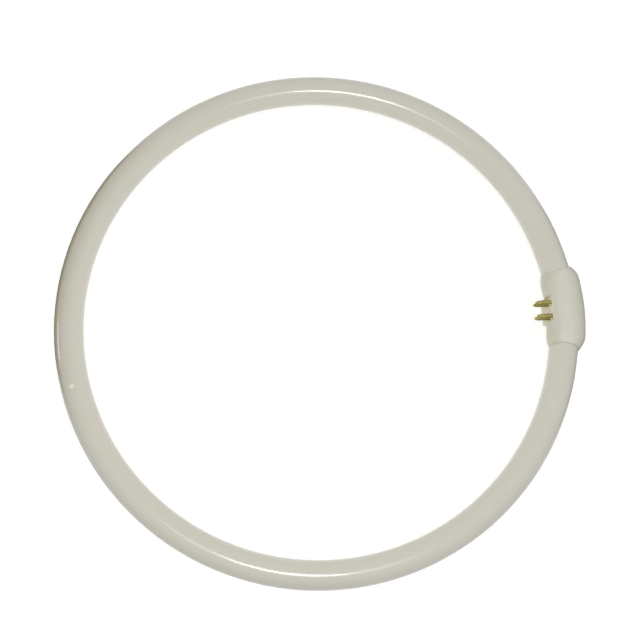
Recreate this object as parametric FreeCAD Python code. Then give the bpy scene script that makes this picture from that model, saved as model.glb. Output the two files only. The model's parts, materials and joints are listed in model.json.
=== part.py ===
import FreeCAD
import Part
import math
import os

# Slim ring-shaped fluorescent lamp: a sealed glass ring, a moulded cap in two halves that closes the ring and
# carries four contact pins, and the lead wires from the tube's ends to the pins.
# Origin: the ring's centre, in the tube's middle plane. +Z is the ring's axis, and the cap is on +X.
# All lengths are in millimetres and all angles in degrees.

# Glass ring
RING_OUTER_DIAMETER = 299.0
TUBE_DIAMETER = 16.5
GLASS_WALL = 0.8
STRAIGHT_END = 20.0
END_GAP = 24.0
SEAL_THICKNESS = 4.0
SHOULDER_RADIUS = 3.0
EXHAUST_TIP_DIAMETER = 3.6
EXHAUST_TIP_LENGTH = 3.0

# Cap body: its covers are the thickness of cap over the glass on each side, and its cavity runs on past the
# tube's ends by a clearance
CAP_LENGTH = 45.5
CAP_FACE_COVER = 2.0
CAP_INNER_COVER = 1.65
CAP_OUTER_COVER = 3.0
CAP_WALL = 1.5
END_CLEARANCE = 1.25
CAP_EDGE_RADIUS = 8.0
CAP_MOUTH_COVER = 0.2
CAP_MOUTH_SETBACK = 2.2
CAP_TAPER = 7.5

# Contact pins
PIN_DIAMETER = 2.35
PIN_PITCH_Y = 7.92
PIN_PITCH_Z = 6.35
PIN_LENGTH = 9.0
PIN_NOSE_LENGTH = 2.8
PIN_SHANK_DIAMETER = 2.8
PIN_FLANGE_DIAMETER = 3.8
PIN_FLANGE_THICKNESS = 0.8
PIN_TAIL_DIAMETER = 1.8
PIN_TAIL_LENGTH = 1.6

# Pin bay in the cap's inner side, open to the front, with a keying ledge behind the pins
BAY_MARGIN = 2.4
BAY_RECESS = 2.0
PIN_WALL = 2.5
LEDGE_REACH = 1.2
LEDGE_PIN_GAP = 1.55
LEDGE_BACK_INSET = 0.75
LEDGE_CORNER_RADIUS = 1.0

# Lead wires
LEAD_DIAMETER = 0.6
LEAD_BEND_RADIUS = 2.0
LEAD_SEATING = 1.5

# Locating posts that join the two halves
POST_DIAMETER = 4.0
POST_SPREAD = 10.0
POST_INSET = 7.5
PEG_DIAMETER = 2.0
PEG_LENGTH = 3.0
PEG_HOLE_DEPTH = 3.4

# Working values: sections in a rounded end and along the middle of the cap, the overrun of the cap's loft
# and of cutting shapes, the least flat beside a rounded corner, and what counts as the same place
TAPER_STEPS = 6
LEVEL_STEPS = 6
MOUTH_OVERRUN = 0.5
OVERRUN = 20.0
LEAST_FLAT = 0.25
SAME_PLACE = 1e-6

UP = FreeCAD.Vector(0, 0, 1)
CENTRE = FreeCAD.Vector(0, 0, 0)

tube_radius = TUBE_DIAMETER / 2
ring_radius = RING_OUTER_DIAMETER / 2 - tube_radius

# The straight ends leave the ring at this angle from +X, so that they stop END_GAP apart.
end_angle = math.degrees(
    math.atan2(STRAIGHT_END, ring_radius)
    + math.asin(END_GAP / 2 / math.hypot(ring_radius, STRAIGHT_END))
)
end_sin = math.sin(math.radians(end_angle))
end_cos = math.cos(math.radians(end_angle))
tube_end_x = ring_radius * end_cos + STRAIGHT_END * end_sin

# The cap follows an arc that is tangent to the two straight ends where the cap stops.
cap_depth = TUBE_DIAMETER + 2 * CAP_FACE_COVER
cap_inner_reach = tube_radius + CAP_INNER_COVER
cap_outer_reach = tube_radius + CAP_OUTER_COVER
cap_radius = CAP_LENGTH / 2 / end_sin
cap_stop_x = ring_radius * end_cos + (ring_radius * end_sin - CAP_LENGTH / 2) * end_sin / end_cos
cap_axis_x = cap_stop_x - cap_radius * end_cos
cap_axis = FreeCAD.Vector(cap_axis_x, 0, 0)
cap_middle_x = cap_axis_x + cap_radius
cap_inner_x = cap_middle_x - cap_inner_reach
cap_outer_x = cap_middle_x + cap_outer_reach

# The bay is wide enough for the pins and a lampholder round them, and the ledge clears the rear pins.
bay_width = PIN_PITCH_Y + PIN_DIAMETER + 2 * BAY_MARGIN
bay_face_x = cap_inner_x + BAY_RECESS
pin_wall_x = bay_face_x + PIN_WALL
pin_tip_x = bay_face_x - PIN_LENGTH
pin_tail_x = pin_wall_x + PIN_FLANGE_THICKNESS + PIN_TAIL_LENGTH
ledge_tip_x = cap_inner_x - LEDGE_REACH
ledge_top_z = -(PIN_PITCH_Z + PIN_DIAMETER) / 2 - LEDGE_PIN_GAP
ledge_back_z = LEDGE_BACK_INSET - cap_depth / 2


def disc(centre, normal, radius):
    return Part.Face(Part.Wire(Part.Circle(centre, normal, radius).toShape()))


def block(x_low, x_high, width_y, z_low, z_high):
    corner = FreeCAD.Vector(x_low, -width_y / 2, z_low)
    return Part.makeBox(x_high - x_low, width_y, z_high - z_low, corner)


def only_solid(shape):
    """The single solid that a piece must be."""
    solids = shape.Solids
    if len(solids) != 1 or not solids[0].isValid():
        raise ValueError("expected one valid solid, got %d" % len(solids))
    return solids[0]


def straight_end(side, radius, length, shoulder):
    """One unbent end of the tube, on the +Y (side 1) or -Y (side -1) side, with a rounded shoulder."""
    start = FreeCAD.Vector(ring_radius * end_cos, side * ring_radius * end_sin, 0)
    heading = FreeCAD.Vector(end_sin, -side * end_cos, 0)
    end = start + heading * length
    bar = Part.makeCylinder(radius, length, start, heading)
    rim = [edge for edge in bar.Edges if edge.CenterOfMass.distanceToPoint(end) < SAME_PLACE]
    return bar.makeFillet(shoulder, rim)


def ring_bar(radius, end_length, shoulder):
    """A round bar along the tube's whole axis: the bent ring and its two straight ends."""
    start = FreeCAD.Vector(ring_radius * end_cos, ring_radius * end_sin, 0)
    heading = FreeCAD.Vector(-end_sin, end_cos, 0)
    bend = disc(start, heading, radius).revolve(CENTRE, UP, 360 - 2 * end_angle)
    ends = [straight_end(side, radius, end_length, shoulder) for side in (1, -1)]
    return bend.fuse(ends).removeSplitter()


def exhaust_tip(side):
    """The sealed-off pumping stub, rooted in the middle of a tube end's seal."""
    radius = EXHAUST_TIP_DIAMETER / 2
    heading = FreeCAD.Vector(end_sin, -side * end_cos, 0)
    root = SEAL_THICKNESS / 2
    start = FreeCAD.Vector(tube_end_x, side * END_GAP / 2, 0) - heading * root
    length = root + EXHAUST_TIP_LENGTH
    stub = Part.makeCylinder(radius, length, start, heading)
    return stub.fuse(Part.makeSphere(radius, start + heading * length))


def glass_tube(outer, leads):
    """The sealed glass: hollow, with thick pressed seals at its ends and the leads standing in them."""
    bore = ring_bar(tube_radius - GLASS_WALL, STRAIGHT_END - SEAL_THICKNESS, SHOULDER_RADIUS)
    tips = [exhaust_tip(side) for side in (1, -1)]
    return outer.fuse(tips).cut(bore).cut(leads).removeSplitter()


def arc_directions(angle):
    """At an angle on the cap's arc, the directions out of the ring and along the arc."""
    turn = math.radians(angle)
    outward = FreeCAD.Vector(math.cos(turn), math.sin(turn), 0)
    return outward, UP.cross(outward)


def cap_section(angle, inset, growth):
    """The cap's outline across its arc, inset all round: smallest at growth 0 and full at growth 1."""
    start = tube_radius + CAP_MOUTH_COVER
    inner = start + growth * (cap_inner_reach - start) - inset
    outer = start + growth * (cap_outer_reach - start) - inset
    half_depth = start + growth * (cap_depth / 2 - start) - inset
    radius = min(CAP_EDGE_RADIUS, start - LEAST_FLAT) - inset
    outward = arc_directions(angle)[0]
    corners = [(outer, half_depth), (-inner, half_depth), (-inner, -half_depth), (outer, -half_depth)]
    arcs = []
    for quarter, (reach, z) in enumerate(corners):
        centre = cap_axis + outward * (cap_radius + reach - math.copysign(radius, reach))
        centre = centre + UP * (z - math.copysign(radius, z))
        turns = [math.radians(90 * quarter + 45 * step) for step in range(3)]
        arcs.append([centre + (outward * math.cos(turn) + UP * math.sin(turn)) * radius for turn in turns])
    edges = []
    for arc, following in zip(arcs, arcs[1:] + arcs[:1]):
        edges.append(Part.Arc(*arc).toShape())
        edges.append(Part.makeLine(arc[-1], following[0]))
    return Part.Wire(edges)


def cap_bar(inset, half_angle):
    """The cap's full section, inset all round, swept along the cap's arc."""
    section = Part.Face(cap_section(-half_angle, inset, 1))
    return section.revolve(cap_axis, UP, 2 * half_angle)


def cap_stations():
    """Angles along the cap's arc and the section's growth there: a sine at each end, level between."""
    taper_angle = math.degrees(CAP_TAPER / cap_radius)
    start_angle = end_angle + math.degrees(MOUTH_OVERRUN / cap_radius)
    level_angle = start_angle - taper_angle
    shares = [step / TAPER_STEPS for step in range(TAPER_STEPS + 1)]
    rising = [(start_angle - taper_angle * share, math.sin(math.radians(90 * share))) for share in shares]
    level = [(level_angle * (1 - 2 * step / LEVEL_STEPS), 1) for step in range(1, LEVEL_STEPS)]
    falling = [(-angle, growth) for angle, growth in reversed(rising)]
    return rising + level + falling


def mouth_trim(side):
    """What is cut off one end of the cap, so that its mouth is an arc as seen from the side."""
    outward, along = arc_directions(side * end_angle)
    middle = cap_axis + outward * (cap_radius - OVERRUN)
    high = cap_depth / 2 + LEAST_FLAT
    spots = [(-CAP_MOUTH_SETBACK, -high), (OVERRUN, -high), (OVERRUN, high), (-CAP_MOUTH_SETBACK, high)]
    points = [middle + along * side * run + UP * z for run, z in spots]
    curve = Part.Arc(points[-1], middle, points[0]).toShape()
    profile = Part.Face(Part.Wire([curve] + Part.makePolygon(points).Edges))
    return profile.extrude(outward * 2 * OVERRUN)


def cap_blank():
    """The cap's outer shape, filled, rounded down towards the tube at both mouths."""
    loft = Part.makeLoft([cap_section(angle, 0, growth) for angle, growth in cap_stations()], True)
    return loft.cut([mouth_trim(side) for side in (1, -1)])


def ledge():
    """The keying ledge that stands out behind the pins, with rounded front corners."""
    tongue = block(ledge_tip_x, pin_wall_x, bay_width, ledge_back_z, ledge_top_z)
    tip_edges = [edge for edge in tongue.Edges if edge.BoundBox.XMax < ledge_tip_x + SAME_PLACE]
    corners = [edge for edge in tip_edges if edge.BoundBox.YLength < SAME_PLACE]
    return tongue.makeFillet(LEDGE_CORNER_RADIUS, corners)


def post_places():
    x = cap_outer_x - POST_INSET
    return [FreeCAD.Vector(x, side * POST_SPREAD / 2, 0) for side in (1, -1)]


def posts():
    """The posts inside the cap, from the middle of one face's wall to the middle of the other's."""
    height = cap_depth - CAP_WALL
    foot = UP * height / 2
    return [Part.makeCylinder(POST_DIAMETER / 2, height, place - foot, UP) for place in post_places()]


def cap_shell(glass):
    """Both halves of the cap in one: hollow, gripping the tube's ends, with the pin bay and its ledge."""
    blank = cap_blank()
    cavity_angle = math.degrees((END_GAP / 2 + END_CLEARANCE) / cap_radius)
    shell = blank.cut(cap_bar(CAP_WALL, cavity_angle))
    backing = block(cap_inner_x, pin_wall_x, bay_width + 2 * CAP_WALL, -cap_depth / 2, cap_depth / 2)
    backing = backing.common(cap_bar(CAP_WALL / 2, cavity_angle))
    bay = block(cap_inner_x - OVERRUN, bay_face_x, bay_width, ledge_top_z, cap_depth)
    shell = shell.fuse(posts() + [backing]).cut(bay).fuse(ledge())
    return shell.cut(glass).removeSplitter()


def half_space(side):
    """Everything in front of (side 1) or behind (side -1) the cap's parting plane."""
    low, high = (0, cap_depth) if side > 0 else (-cap_depth, 0)
    return block(cap_inner_x - OVERRUN, cap_outer_x + OVERRUN, CAP_LENGTH + 2 * OVERRUN, low, high)


def cap_half(shell, side, pins):
    """The front or rear half shell. The rear half's pegs stand in holes in the front half's posts."""
    half = shell.common(half_space(side)).cut(pins)
    depth = PEG_HOLE_DEPTH if side > 0 else PEG_LENGTH
    pegs = [Part.makeCylinder(PEG_DIAMETER / 2, depth, place, UP) for place in post_places()]
    return half.cut(pegs) if side > 0 else half.fuse(pegs)


def contact_pin(side_y, side_z):
    """A round-nosed pin, with a shank in the bay's wall, a flange behind it and a tail for the lead."""
    radius = PIN_DIAMETER / 2
    nose_x = pin_tip_x + PIN_NOSE_LENGTH
    flange_x = pin_wall_x + PIN_FLANGE_THICKNESS
    outline = [
        (nose_x, radius),
        (bay_face_x, radius),
        (bay_face_x, PIN_SHANK_DIAMETER / 2),
        (pin_wall_x, PIN_SHANK_DIAMETER / 2),
        (pin_wall_x, PIN_FLANGE_DIAMETER / 2),
        (flange_x, PIN_FLANGE_DIAMETER / 2),
        (flange_x, PIN_TAIL_DIAMETER / 2),
        (pin_tail_x, PIN_TAIL_DIAMETER / 2),
        (pin_tail_x, 0),
        (pin_tip_x, 0),
    ]
    points = [FreeCAD.Vector(x, 0, r) for x, r in outline]
    lines = [Part.LineSegment(a, b).toShape() for a, b in zip(points, points[1:])]
    nose = Part.Ellipse(points[-1], points[0], FreeCAD.Vector(nose_x, 0, 0))
    nose = Part.ArcOfEllipse(nose, 0, math.pi / 2).toShape()
    pin = Part.Face(Part.Wire([nose] + lines)).revolve(CENTRE, FreeCAD.Vector(1, 0, 0), 360)
    pin.translate(FreeCAD.Vector(0, side_y * PIN_PITCH_Y / 2, side_z * PIN_PITCH_Z / 2))
    return pin


def lead_wire(side_y, side_z):
    """A wire out of the tube's end, bent once towards the ring's centre, ending on a pin's tail."""
    radius = LEAD_DIAMETER / 2
    z = side_z * PIN_PITCH_Z / 2
    pin_y = side_y * PIN_PITCH_Y / 2
    start = FreeCAD.Vector(tube_end_x, side_y * (END_GAP / 2 + LEAD_SEATING), z)
    bend_start = FreeCAD.Vector(tube_end_x, pin_y + side_y * LEAD_BEND_RADIUS, z)
    bend_centre = bend_start - FreeCAD.Vector(LEAD_BEND_RADIUS, 0, 0)
    bend_end = FreeCAD.Vector(tube_end_x - LEAD_BEND_RADIUS, pin_y, z)
    tail_end = FreeCAD.Vector(pin_tail_x, pin_y, z)
    first_run = bend_start - start
    last_run = tail_end - bend_end
    first = disc(start, first_run, radius).extrude(first_run)
    bend = disc(bend_start, first_run, radius).revolve(bend_centre, UP, -side_y * 90)
    last = disc(bend_end, last_run, radius).extrude(last_run)
    return first.fuse([bend, last]).removeSplitter()


def pieces():
    """Every separate piece of the lamp, by node name."""
    corners = [("upper_front", 1, 1), ("upper_rear", 1, -1), ("lower_front", -1, 1), ("lower_rear", -1, -1)]
    pins = {"pin_" + name: contact_pin(side_y, side_z) for name, side_y, side_z in corners}
    leads = {"lead_" + name: lead_wire(side_y, side_z) for name, side_y, side_z in corners}
    glass = ring_bar(tube_radius, STRAIGHT_END, SHOULDER_RADIUS)
    shell = cap_shell(glass)
    halves = {
        "cap_front_half": cap_half(shell, 1, list(pins.values())),
        "cap_rear_half": cap_half(shell, -1, list(pins.values())),
    }
    return {"glass_tube": glass_tube(glass, list(leads.values())), **halves, **pins, **leads}


os.makedirs("parts", exist_ok=True)
for node, shape in pieces().items():
    solid = only_solid(shape)
    solid.exportStep("parts/" + node + ".step")
    print("%-18s %9.1f mm3" % (node, solid.Volume))
print("pins stand out of the bay at x %.3f" % bay_face_x)
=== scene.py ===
import json
import math

import bpy
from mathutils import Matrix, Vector


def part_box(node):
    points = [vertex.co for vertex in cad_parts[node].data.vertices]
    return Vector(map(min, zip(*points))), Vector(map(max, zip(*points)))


# Looks of a slim ring-shaped fluorescent lamp, laid on a pale floor. Lengths are in metres.

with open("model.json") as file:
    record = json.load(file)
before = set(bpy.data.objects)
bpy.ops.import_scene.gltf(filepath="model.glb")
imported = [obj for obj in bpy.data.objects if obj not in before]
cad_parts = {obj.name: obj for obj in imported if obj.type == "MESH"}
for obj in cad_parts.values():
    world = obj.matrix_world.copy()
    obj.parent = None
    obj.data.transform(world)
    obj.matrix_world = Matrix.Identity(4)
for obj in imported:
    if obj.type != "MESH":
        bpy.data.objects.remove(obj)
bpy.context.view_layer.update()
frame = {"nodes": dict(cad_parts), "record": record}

MM = 0.001
WHITE = (1.0, 1.0, 1.0, 1.0)

# Camera at the photograph's viewpoint: turn in degrees, lens and sensor in millimetres
CAMERA_PLACE = (-0.03825, -0.14637, 0.68762)
CAMERA_TURN = (12.3205, -2.4571, -3.7865)
CAMERA_LENS = 69.348
CAMERA_SENSOR = 36.0
CAMERA_CLIP = 0.01

# Lights, each as name, place, diameter and power
LIGHTS = [
    ("flash", (-0.022, -0.155, 0.745), 0.16, 1.05),
    ("flash_halo", (-0.022, -0.156, 0.750), 0.34, 0.57),
    ("window", (-1.18, 0.20, 0.04), 0.24, 0.80),
]

# Surround: its light from the dimmest side to the brightest, that side's direction, and strength where seen
SURROUND_RANGE = (0.50, 0.68)
SURROUND_BRIGHT_SIDE = (0.77, 0.64, 0.0)
SURROUND_SEEN = 1.0

# Floor: bright inside the ring, where the flash falls, and darker outside, with a change between two radii
FLOOR_SIZE = 6.0
FLOOR_INSIDE = (0.86, 0.86, 0.855, 1.0)
FLOOR_OUTSIDE = (0.30, 0.30, 0.295, 1.0)
FLOOR_CHANGE = (0.125, 0.165)

# Floor's glow: the lifts make it white where it is seen, and the bounce falls on the tube's inner side
FLOOR_LIFT_INSIDE = 0.36
FLOOR_LIFT_OUTSIDE = 0.92
FLOOR_BOUNCE = 0.28

# Floor, cards and board have no gloss
MATT = {"Roughness": 0.9, "Specular IOR Level": 0.0}

# Crescent-shaped cards on the floor, each as name, middle and half of its arc in degrees, and colour
CARDS = [
    ("dark_card", 162.0, 38.0, (0.05, 0.048, 0.0, 1.0)),
    ("grey_card", 1.0, 32.0, (0.46, 0.45, 0.40, 1.0)),
]

# Cards' radii, the power with which they narrow to their ends, and their height above the floor
CARD_NEAR = 0.1515
CARD_FAR = 0.30
CARD_TAPER = 8
CARD_STEPS = 24
CARD_LIFT = 0.5 * MM

# Olive board that stands along the dark card and keeps the room's light off the tube's left side
BOARD_RADIUS = 0.21
BOARD_HEIGHT = 0.095
BOARD_MIDDLE = 159.0
BOARD_HALF_ARC = 29.0
BOARD_STEPS = 12
BOARD_COLOUR = (0.24, 0.23, 0.0, 1.0)

# Part of the noise's range that is spread out into patches
NOISE_SPREAD = (0.3, 0.7)

# Glass and its powder coat: each noise as grain, detail and roughness, each bump as depth and strength
GLASS_FIXED = {"Coat Weight": 1.0, "Coat Roughness": 0.10, "Coat IOR": 1.5, "Specular IOR Level": 0.2}
CLOUD_NOISE = (45 * MM, 3.0, 0.5)
CLOUD_TINTS = ((0.660, 0.620, 0.530, 1.0), (0.623, 0.614, 0.524, 1.0))
POWDER_NOISE = (0.7 * MM, 4.0, 0.7)
POWDER_TINT = (0.675, 0.650, 0.565, 1.0)
DULLNESS_NOISE = (6 * MM, 2.0, 0.5)
POWDER_ROUGHNESS = (0.55, 0.7)
RIPPLE_NOISE = (14 * MM, 1.0, 0.5)
RIPPLE_BUMP = (0.25 * MM, 0.10)

# Painted glint on the glass, at the tube's left: a pale spot that stands in for a small highlight, full
# inside the first radius, gone outside the second
PAINTED_GLINT_PLACE = (-139.2 * MM, -29.8 * MM, 8.2 * MM)
PAINTED_GLINT_RADII = (0.4 * MM, 2.3 * MM)
PAINTED_GLINT_NOISE = (1.6 * MM, 2.0, 0.5)
PAINTED_GLINT_UNEVEN = 0.9 * MM
PAINTED_GLINT_TINT = (0.930, 0.915, 0.780, 1.0)

# Cap: moulded plastic with flow marks and spark texture
CAP_FIXED = {"Specular IOR Level": 0.45}
FLOW_NOISE = (9 * MM, 3.0, 0.5)
FLOW_TINTS = ((0.720, 0.690, 0.612, 1.0), (0.690, 0.670, 0.592, 1.0))
CAP_NOISE = (2.5 * MM, 3.0, 0.5)
CAP_ROUGHNESS = (0.34, 0.46)
SPARK_NOISE = (0.35 * MM, 2.0, 0.5)
SPARK_BUMP = (0.02 * MM, 0.5)

# Cap's painted shade down its sides, darker and yellower by their distance from the middle of its face,
# which leaves a painted sheen down that middle, and its parting line
CAP_MIDDLE = 141.0 * MM
PAINTED_SIDE_SHADE_RANGE = (1.5 * MM, 9 * MM)
PAINTED_SIDE_SHADE_TINT = (0.600, 0.592, 0.478, 1.0)
PARTING_RANGE = (0.05 * MM, 0.14 * MM)
PARTING_TINT = (0.32, 0.30, 0.25, 1.0)

# Painted light in the cap's pin bay, whiter to lift the shade of its recess, with the soft edge of its
# colour
BAY_HALF_WIDTH = 7.55 * MM
BAY_EDGE = 0.1 * MM
PAINTED_BAY_LIGHT = (0.860, 0.820, 0.680, 1.0)

# Brass pins, with tarnish and fine rings
TARNISH_NOISE = (1.8 * MM, 4.0, 0.6)
TARNISH_SPREAD = (0.38, 0.66)
TARNISH_TINTS = ((0.38, 0.335, 0.125, 1.0), (0.28, 0.25, 0.085, 1.0))
PIN_ROUGHNESS = (0.52, 0.66)
RING_GRAIN = 6 * MM
RING_DISTORTION = 1.5
RING_BUMP = (0.02 * MM, 0.3)

# Stained lead wire
STAIN_NOISE = (1.2 * MM, 3.0, 0.5)
STAIN_SPREAD = (0.35, 0.65)
STAIN_TINTS = ((0.66, 0.64, 0.60, 1.0), (0.46, 0.44, 0.40, 1.0))
LEAD_ROUGHNESS = (0.24, 0.42)

# Places of the colour sockets on a mix node, where several sockets share a name
MIX_FIRST_COLOUR = 6
MIX_SECOND_COLOUR = 7
MIX_COLOUR_RESULT = 2


def feed(tree, socket, value):
    """Links another node's output to a socket, or sets a fixed value on it."""
    if isinstance(value, bpy.types.NodeSocket):
        tree.links.new(value, socket)
    else:
        socket.default_value = value


def add(tree, kind, inputs=None, **settings):
    """A new node with its settings and inputs."""
    made = tree.nodes.new(kind)
    for name, value in settings.items():
        setattr(made, name, value)
    for name, value in (inputs or {}).items():
        feed(tree, made.inputs[name], value)
    return made


def new_material(name):
    """A material without nodes, and its node tree."""
    material = bpy.data.materials.new(name)
    material.use_nodes = True
    material.node_tree.nodes.clear()
    return material, material.node_tree


def shade(tree, inputs):
    """Makes the surface one principled shader with these inputs."""
    shader = add(tree, "ShaderNodeBsdfPrincipled", inputs)
    add(tree, "ShaderNodeOutputMaterial", {"Surface": shader.outputs["BSDF"]})


def place_of(tree):
    """The surface's own coordinates, in metres."""
    return add(tree, "ShaderNodeTexCoord").outputs["Object"]


def maths(tree, operation, *values):
    """One step of arithmetic on numbers or number outputs."""
    return add(tree, "ShaderNodeMath", dict(enumerate(values)), operation=operation).outputs[0]


def measure(tree, operation, *vectors):
    """A number taken from vectors, such as a length or a distance."""
    return add(tree, "ShaderNodeVectorMath", dict(enumerate(vectors)), operation=operation).outputs["Value"]


def distance_from(tree, value, place):
    """How far a value lies from a place, either way."""
    return maths(tree, "ABSOLUTE", maths(tree, "SUBTRACT", value, place))


def remap(tree, value, low, high, to_low, to_high):
    """A value spread from one range to another, held at the ends."""
    inputs = {"Value": value, "From Min": low, "From Max": high, "To Min": to_low, "To Max": to_high}
    return add(tree, "ShaderNodeMapRange", inputs).outputs["Result"]


def noise(tree, grain, detail, roughness):
    """Noise whose features are about one grain across."""
    inputs = {"Vector": place_of(tree), "Scale": 1 / grain, "Detail": detail, "Roughness": roughness}
    return add(tree, "ShaderNodeTexNoise", inputs).outputs["Fac"]


def patches(tree, noise_values, ends=(0.0, 1.0), spread=NOISE_SPREAD):
    """Noise whose middle range is spread out between two ends."""
    return remap(tree, noise(tree, *noise_values), *spread, *ends)


def blend_colours(tree, share, first, second):
    """Two colours, or colour outputs, mixed by a share."""
    inputs = {"Factor": share, MIX_FIRST_COLOUR: first, MIX_SECOND_COLOUR: second}
    return add(tree, "ShaderNodeMix", inputs, data_type="RGBA").outputs[MIX_COLOUR_RESULT]


def blend_values(tree, share, first, second):
    """Two numbers, or number outputs, mixed by a share."""
    inputs = {"Factor": share, "A": first, "B": second}
    return add(tree, "ShaderNodeMix", inputs, data_type="FLOAT").outputs["Result"]


def bump(tree, height, depth, strength):
    """A bump whose height runs over a depth."""
    inputs = {"Height": height, "Distance": depth, "Strength": strength}
    return add(tree, "ShaderNodeBump", inputs).outputs["Normal"]


def painted_glint_share(tree):
    """1 in the middle of the painted glint, a pale spot with an uneven edge, and 0 elsewhere."""
    away = measure(tree, "DISTANCE", place_of(tree), PAINTED_GLINT_PLACE)
    uneven = patches(tree, PAINTED_GLINT_NOISE, (0.0, PAINTED_GLINT_UNEVEN))
    return remap(tree, maths(tree, "ADD", away, uneven), *PAINTED_GLINT_RADII, 1.0, 0.0)


def coated_glass():
    """Clear glossy glass over a matt off-white powder coat, faintly uneven in tint and thickness, with a
    painted glint on its left.
    """
    material, tree = new_material("coated_glass")
    colour = blend_colours(tree, patches(tree, CLOUD_NOISE), *CLOUD_TINTS)
    colour = blend_colours(tree, patches(tree, POWDER_NOISE), colour, POWDER_TINT)
    # Painted glint: a pale spot on the tube's left that stands in for a small highlight
    colour = blend_colours(tree, painted_glint_share(tree), colour, PAINTED_GLINT_TINT)
    rough = patches(tree, DULLNESS_NOISE, POWDER_ROUGHNESS)
    ripple = bump(tree, noise(tree, *RIPPLE_NOISE), *RIPPLE_BUMP)
    shade(tree, {**GLASS_FIXED, "Base Color": colour, "Roughness": rough, "Coat Normal": ripple})
    return material


def painted_bay_light_share(tree, split):
    """1 on the pin bay's walls and keying ledge, where painted light lifts the recess shade, and 0
    elsewhere on the cap.
    """
    bay_face = frame["record"]["mounts"][0]["pos_m"][0]
    depth = remap(tree, split.outputs["X"], bay_face, bay_face + BAY_EDGE, 1.0, 0.0)
    along = distance_from(tree, split.outputs["Y"], 0.0)
    width = remap(tree, along, BAY_HALF_WIDTH, BAY_HALF_WIDTH + BAY_EDGE, 1.0, 0.0)
    return maths(tree, "MULTIPLY", depth, width)


def cap_plastic():
    """Moulded white plastic with flow marks, spark texture and a parting line, painted shade down its sides
    that leaves a painted sheen down the middle of its face, and painted light in its pin bay.
    """
    material, tree = new_material("cap_plastic")
    split = add(tree, "ShaderNodeSeparateXYZ", {"Vector": place_of(tree)})
    off_middle = distance_from(tree, split.outputs["X"], CAP_MIDDLE)
    # Painted shade: darker and yellower away from the middle of the face, leaving a painted sheen band
    # there
    painted_side_shade = remap(tree, off_middle, *PAINTED_SIDE_SHADE_RANGE, 0.0, 1.0)
    off_parting = distance_from(tree, split.outputs["Z"], 0.0)
    parting = remap(tree, off_parting, *PARTING_RANGE, 1.0, 0.0)
    colour = blend_colours(tree, patches(tree, FLOW_NOISE), *FLOW_TINTS)
    colour = blend_colours(tree, painted_side_shade, colour, PAINTED_SIDE_SHADE_TINT)
    # Painted light: the pin bay and ledge whitened against the shade of their recess
    colour = blend_colours(tree, painted_bay_light_share(tree, split), colour, PAINTED_BAY_LIGHT)
    colour = blend_colours(tree, parting, colour, PARTING_TINT)
    rough = patches(tree, CAP_NOISE, CAP_ROUGHNESS)
    spark = bump(tree, noise(tree, *SPARK_NOISE), *SPARK_BUMP)
    shade(tree, {**CAP_FIXED, "Base Color": colour, "Roughness": rough, "Normal": spark})
    return material


def pin_brass():
    """Drawn brass with fine rings across the pin, dull olive tarnish in patches and rubbed places."""
    material, tree = new_material("pin_brass")
    tarnish = patches(tree, TARNISH_NOISE, spread=TARNISH_SPREAD)
    colour = blend_colours(tree, tarnish, *TARNISH_TINTS)
    rough = blend_values(tree, tarnish, *PIN_ROUGHNESS)
    ring_values = {"Vector": place_of(tree), "Scale": 1 / RING_GRAIN, "Distortion": RING_DISTORTION}
    rings = add(tree, "ShaderNodeTexWave", ring_values, bands_direction="X")
    turned = bump(tree, rings.outputs["Fac"], *RING_BUMP)
    shade(tree, {"Metallic": 1.0, "Base Color": colour, "Roughness": rough, "Normal": turned})
    return material


def lead_metal():
    """Bare nickel-plated wire, slightly stained."""
    material, tree = new_material("lead_metal")
    stain = patches(tree, STAIN_NOISE, spread=STAIN_SPREAD)
    colour = blend_colours(tree, stain, *STAIN_TINTS)
    rough = blend_values(tree, stain, *LEAD_ROUGHNESS)
    shade(tree, {"Metallic": 1.0, "Base Color": colour, "Roughness": rough})
    return material


def dress_nodes():
    """Gives each node of the model the material of its slot."""
    made = {make.__name__: make() for make in (coated_glass, cap_plastic, pin_brass, lead_metal)}
    for part in frame["record"]["subparts"]:
        mesh = frame["nodes"][part["node"]].data
        mesh.materials.clear()
        mesh.materials.append(made[part["material_slot"]])


def seen_directly(tree):
    """1 for rays from the camera, off glossy surfaces and through clear ones, and 0 for light on things."""
    path = add(tree, "ShaderNodeLightPath")
    glossy_too = maths(tree, "MAXIMUM", path.outputs["Is Camera Ray"], path.outputs["Is Glossy Ray"])
    return maths(tree, "MAXIMUM", glossy_too, path.outputs["Is Transmission Ray"])


def floor_material():
    """A pale floor that takes the lamp's shadow, lifted to white only where it is seen."""
    material, tree = new_material("floor")
    inside = remap(tree, measure(tree, "LENGTH", place_of(tree)), *FLOOR_CHANGE, 1.0, 0.0)
    colour = blend_colours(tree, inside, FLOOR_OUTSIDE, FLOOR_INSIDE)
    lift = blend_values(tree, inside, FLOOR_LIFT_OUTSIDE, FLOOR_LIFT_INSIDE)
    bounce = blend_values(tree, inside, 0.0, FLOOR_BOUNCE)
    glow = blend_values(tree, seen_directly(tree), bounce, lift)
    shade(tree, {**MATT, "Base Color": colour, "Emission Color": WHITE, "Emission Strength": glow})
    return material


def matt_material(name, colour):
    material, tree = new_material(name)
    shade(tree, {**MATT, "Base Color": colour})
    return material


def floor_plane():
    """The floor's height under the ring's centre, and the slight slope that meets cap and far tube."""
    tube_low, tube_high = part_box("glass_tube")
    cap_low, cap_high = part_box("cap_rear_half")
    cap_middle = (cap_low.x + cap_high.x) / 2
    tube_middle = tube_low.x + (tube_high.z - tube_low.z) / 2
    slope = (cap_low.z - tube_low.z) / (cap_middle - tube_middle)
    return cap_low.z - cap_middle * slope, slope


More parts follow.
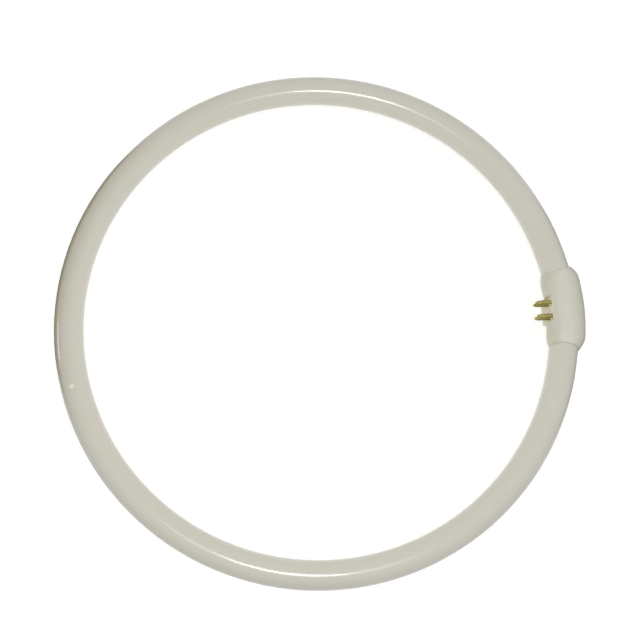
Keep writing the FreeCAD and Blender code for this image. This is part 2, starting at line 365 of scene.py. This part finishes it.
def lay_sheet(name, points, faces, material):
    """A sheet that belongs to the setting, from points with their heights above the floor."""
    height, slope = floor_plane()
    mesh = bpy.data.meshes.new(name)
    mesh.from_pydata([(x, y, height + x * slope + above) for x, y, above in points], [], faces)
    mesh.materials.append(material)
    sheet = bpy.data.objects.new(name, mesh)
    bpy.context.scene.collection.objects.link(sheet)
    return sheet


def lay_floor():
    half = FLOOR_SIZE / 2
    corners = [(-half, -half, 0.0), (half, -half, 0.0), (half, half, 0.0), (-half, half, 0.0)]
    lay_sheet("floor", corners, [(0, 1, 2, 3)], floor_material())


def arc_shares(steps):
    """Places along an arc, from -1 at its start to 1 at its end."""
    return [2 * step / steps - 1 for step in range(steps + 1)]


def polar_point(radius, degrees, above):
    """A point at a radius and an angle round the ring's centre, with its height above the floor."""
    turn = math.radians(degrees)
    return radius * math.cos(turn), radius * math.sin(turn), above


def strip_faces(steps):
    """Faces of a strip whose points come in pairs."""
    return [(2 * step, 2 * step + 1, 2 * step + 3, 2 * step + 2) for step in range(steps)]


def lay_card(name, middle, half_arc, colour):
    """A card beside the tube, which darkens its edge and shows only in what it reflects."""
    points = []
    for share in arc_shares(CARD_STEPS):
        near = CARD_NEAR + (CARD_FAR - CARD_NEAR) * share ** CARD_TAPER
        for radius in (near, CARD_FAR):
            points.append(polar_point(radius, middle + half_arc * share, CARD_LIFT))
    card = lay_sheet(name, points, strip_faces(CARD_STEPS), matt_material(name, colour))
    card.visible_camera = False
    card.visible_diffuse = False
    card.visible_shadow = False


def stand_board():
    """The standing board, which shows only in the light that falls on the tube."""
    points = []
    for share in arc_shares(BOARD_STEPS):
        for above in (0.0, BOARD_HEIGHT):
            points.append(polar_point(BOARD_RADIUS, BOARD_MIDDLE + BOARD_HALF_ARC * share, above))
    board = lay_sheet("board", points, strip_faces(BOARD_STEPS), matt_material("board", BOARD_COLOUR))
    board.visible_camera = False
    board.visible_glossy = False
    board.visible_shadow = False


def set_camera():
    lens = bpy.data.cameras.new("camera")
    lens.lens = CAMERA_LENS
    lens.sensor_width = CAMERA_SENSOR
    lens.sensor_fit = "HORIZONTAL"
    lens.clip_start = CAMERA_CLIP
    camera = bpy.data.objects.new("camera", lens)
    camera.location = CAMERA_PLACE
    camera.rotation_euler = [math.radians(turn) for turn in CAMERA_TURN]
    bpy.context.scene.collection.objects.link(camera)
    bpy.context.scene.camera = camera


def hang_light(name, place, diameter, power):
    """A round area light that faces the ring's centre."""
    light = bpy.data.lights.new(name, "AREA")
    light.shape = "DISK"
    light.size = diameter
    light.energy = power
    holder = bpy.data.objects.new(name, light)
    holder.location = place
    holder.rotation_euler = (-Vector(place)).to_track_quat("-Z", "Y").to_euler()
    bpy.context.scene.collection.objects.link(holder)


def set_surround():
    """A room that is brighter on one side in the light it gives, and plain white where it is seen."""
    world = bpy.data.worlds.new("surround")
    world.use_nodes = True
    tree = world.node_tree
    tree.nodes.clear()
    outward = add(tree, "ShaderNodeTexCoord").outputs["Generated"]
    facing = measure(tree, "DOT_PRODUCT", outward, SURROUND_BRIGHT_SIDE)
    light = remap(tree, facing, -1.0, 1.0, *SURROUND_RANGE)
    strength = blend_values(tree, seen_directly(tree), light, SURROUND_SEEN)
    background = add(tree, "ShaderNodeBackground", {"Color": WHITE, "Strength": strength})
    add(tree, "ShaderNodeOutputWorld", {"Surface": background.outputs["Background"]})
    bpy.context.scene.world = world


bpy.context.scene.view_settings.view_transform = "Standard"
dress_nodes()
lay_floor()
for card_values in CARDS:
    lay_card(*card_values)
stand_board()
set_camera()
for light_values in LIGHTS:
    hang_light(*light_values)
set_surround()
